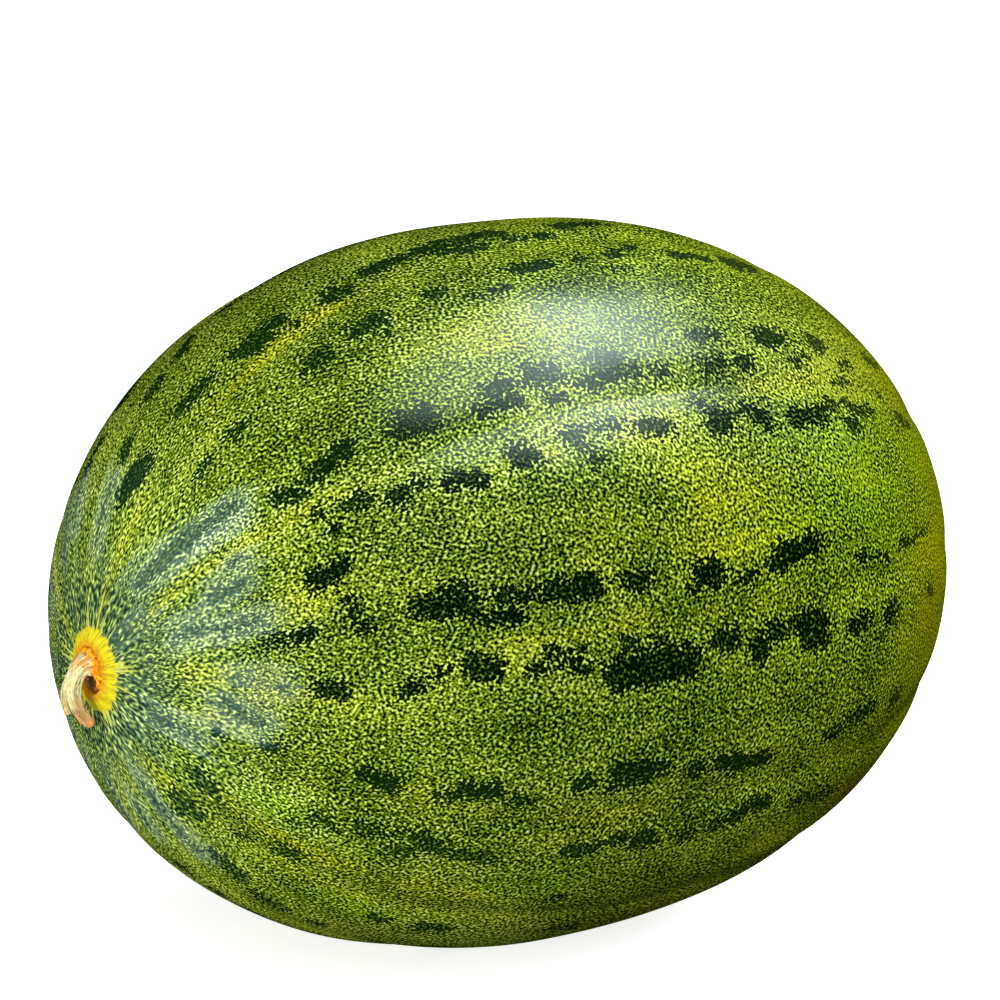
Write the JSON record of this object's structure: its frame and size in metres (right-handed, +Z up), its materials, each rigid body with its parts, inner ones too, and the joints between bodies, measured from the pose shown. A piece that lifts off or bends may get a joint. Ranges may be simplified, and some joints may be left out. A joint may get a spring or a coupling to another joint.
{
  "type": "piel de sapo melon",
  "caption": "Whole long oval melon lying on its side, with shallow sutures, a raised corky collar at the stem end and the dried stub of its stalk.",
  "frame": {"origin": "in the flat spot that the fruit rests on, under the middle of its length", "axes": "+X along the fruit from the stem end to the blossom end, +Z up"},
  "size_m": [0.236, 0.1756, 0.1699],
  "materials": {
    "rind": "waxy hard rind, dark green with fine yellow-green specks and rows of near-black green blotches, satin gloss",
    "dried_stalk": "dry corky plant fibre, cream to tan, with an orange root, matt"
  },
  "bodies": {
    "root": {"fruit": "rind", "stalk_stub": "dried_stalk"}
  },
  "joints": []
}
